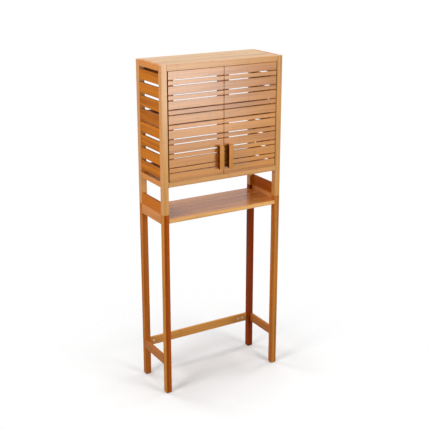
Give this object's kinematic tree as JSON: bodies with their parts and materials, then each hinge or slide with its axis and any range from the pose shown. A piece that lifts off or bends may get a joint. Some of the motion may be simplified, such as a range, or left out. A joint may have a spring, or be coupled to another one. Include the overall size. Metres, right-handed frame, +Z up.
{
  "type": "over-machine bathroom cabinet",
  "caption": "Tall slatted bamboo cabinet on legs that stands over a washing machine, with slatted doors above an open shelf and a machine bay below.",
  "frame": {"origin": "on the floor, at the middle of the bounding box in width and in depth, pulls included", "axes": "+Z up, +Y from the doors towards the back, +X to the right as seen from the front"},
  "size_m": [0.66, 0.288, 1.645],
  "materials": {
    "leg_bamboo": "dark caramelised bamboo, satin varnish",
    "post_bamboo": "natural bamboo, satin varnish",
    "rail_bamboo": "natural bamboo, satin varnish",
    "side_slat_bamboo": "caramelised bamboo, satin varnish",
    "door_bamboo": "bamboo laminate, satin varnish",
    "stile_bamboo": "bamboo, satin varnish",
    "handle_bamboo": "natural bamboo, rounded, satin varnish",
    "shelf_bamboo": "bamboo laminate board, glossy varnish",
    "panel_bamboo": "bamboo laminate board, satin varnish",
    "inner_bamboo": "bamboo, satin varnish",
    "steel": "zinc-plated steel",
    "cam_zinc": "die-cast zinc, bright",
    "grey_plastic": "moulded, matt",
    "brown_plastic": "moulded, matt"
  },
  "bodies": {
    "frame": {"leg_front_left": "leg_bamboo", "leg_front_right": "leg_bamboo", "leg_rear_left": "leg_bamboo", "leg_rear_right": "leg_bamboo", "post_front_left": "post_bamboo", "post_front_right": "post_bamboo", "post_rear_left": "post_bamboo", "post_rear_right": "post_bamboo", "foot_glides": "grey_plastic", "leg_rail_left": "rail_bamboo", "leg_rail_right": "rail_bamboo", "side_stretcher_left": "rail_bamboo", "side_stretcher_right": "rail_bamboo", "side_board_left": "rail_bamboo", "side_board_right": "rail_bamboo", "side_bottom_rail_left": "rail_bamboo", "side_bottom_rail_right": "rail_bamboo", "side_top_rail_left": "rail_bamboo", "side_top_rail_right": "rail_bamboo", "back_stretcher": "rail_bamboo", "front_rail_top": "rail_bamboo", "front_rail_bottom": "rail_bamboo", "back_rail_top": "inner_bamboo", "back_rail_middle": "inner_bamboo", "back_rail_bottom": "inner_bamboo", "inner_shelf": "inner_bamboo", "shelf_cleats": "inner_bamboo", "bottom_panel": "inner_bamboo", "loose_tenons": "inner_bamboo", "side_slats_left": "side_slat_bamboo", "side_slats_right": "side_slat_bamboo", "open_shelf": "shelf_bamboo", "top_panel": "panel_bamboo", "stretcher_cams": "cam_zinc", "stretcher_disc": "cam_zinc", "cam_pins": "steel", "catch_poles": "steel", "pivot_bushes": "brown_plastic", "catch_case": "brown_plastic"},
    "left_door": {"left_door_stiles": "stile_bamboo", "left_door_wide_slats": "door_bamboo", "left_door_narrow_slats": "door_bamboo", "left_handle": "handle_bamboo", "left_handle_screws": "steel", "left_pivot_pins": "steel", "left_strike_plate": "steel"},
    "right_door": {"right_door_stiles": "stile_bamboo", "right_door_wide_slats": "door_bamboo", "right_door_narrow_slats": "door_bamboo", "right_handle": "handle_bamboo", "right_handle_screws": "steel", "right_pivot_pins": "steel", "right_strike_plate": "steel"}
  },
  "joints": [
    {"name": "left_door_hinge", "type": "hinge", "parent": "frame", "child": "left_door", "pos_m": [-0.281, -0.106, 1.357], "axis": [0, 0, -1], "range_deg": [0, 110]},
    {"name": "right_door_hinge", "type": "hinge", "parent": "frame", "child": "right_door", "pos_m": [0.281, -0.106, 1.357], "axis": [0, 0, 1], "range_deg": [0, 110]}
  ]
}
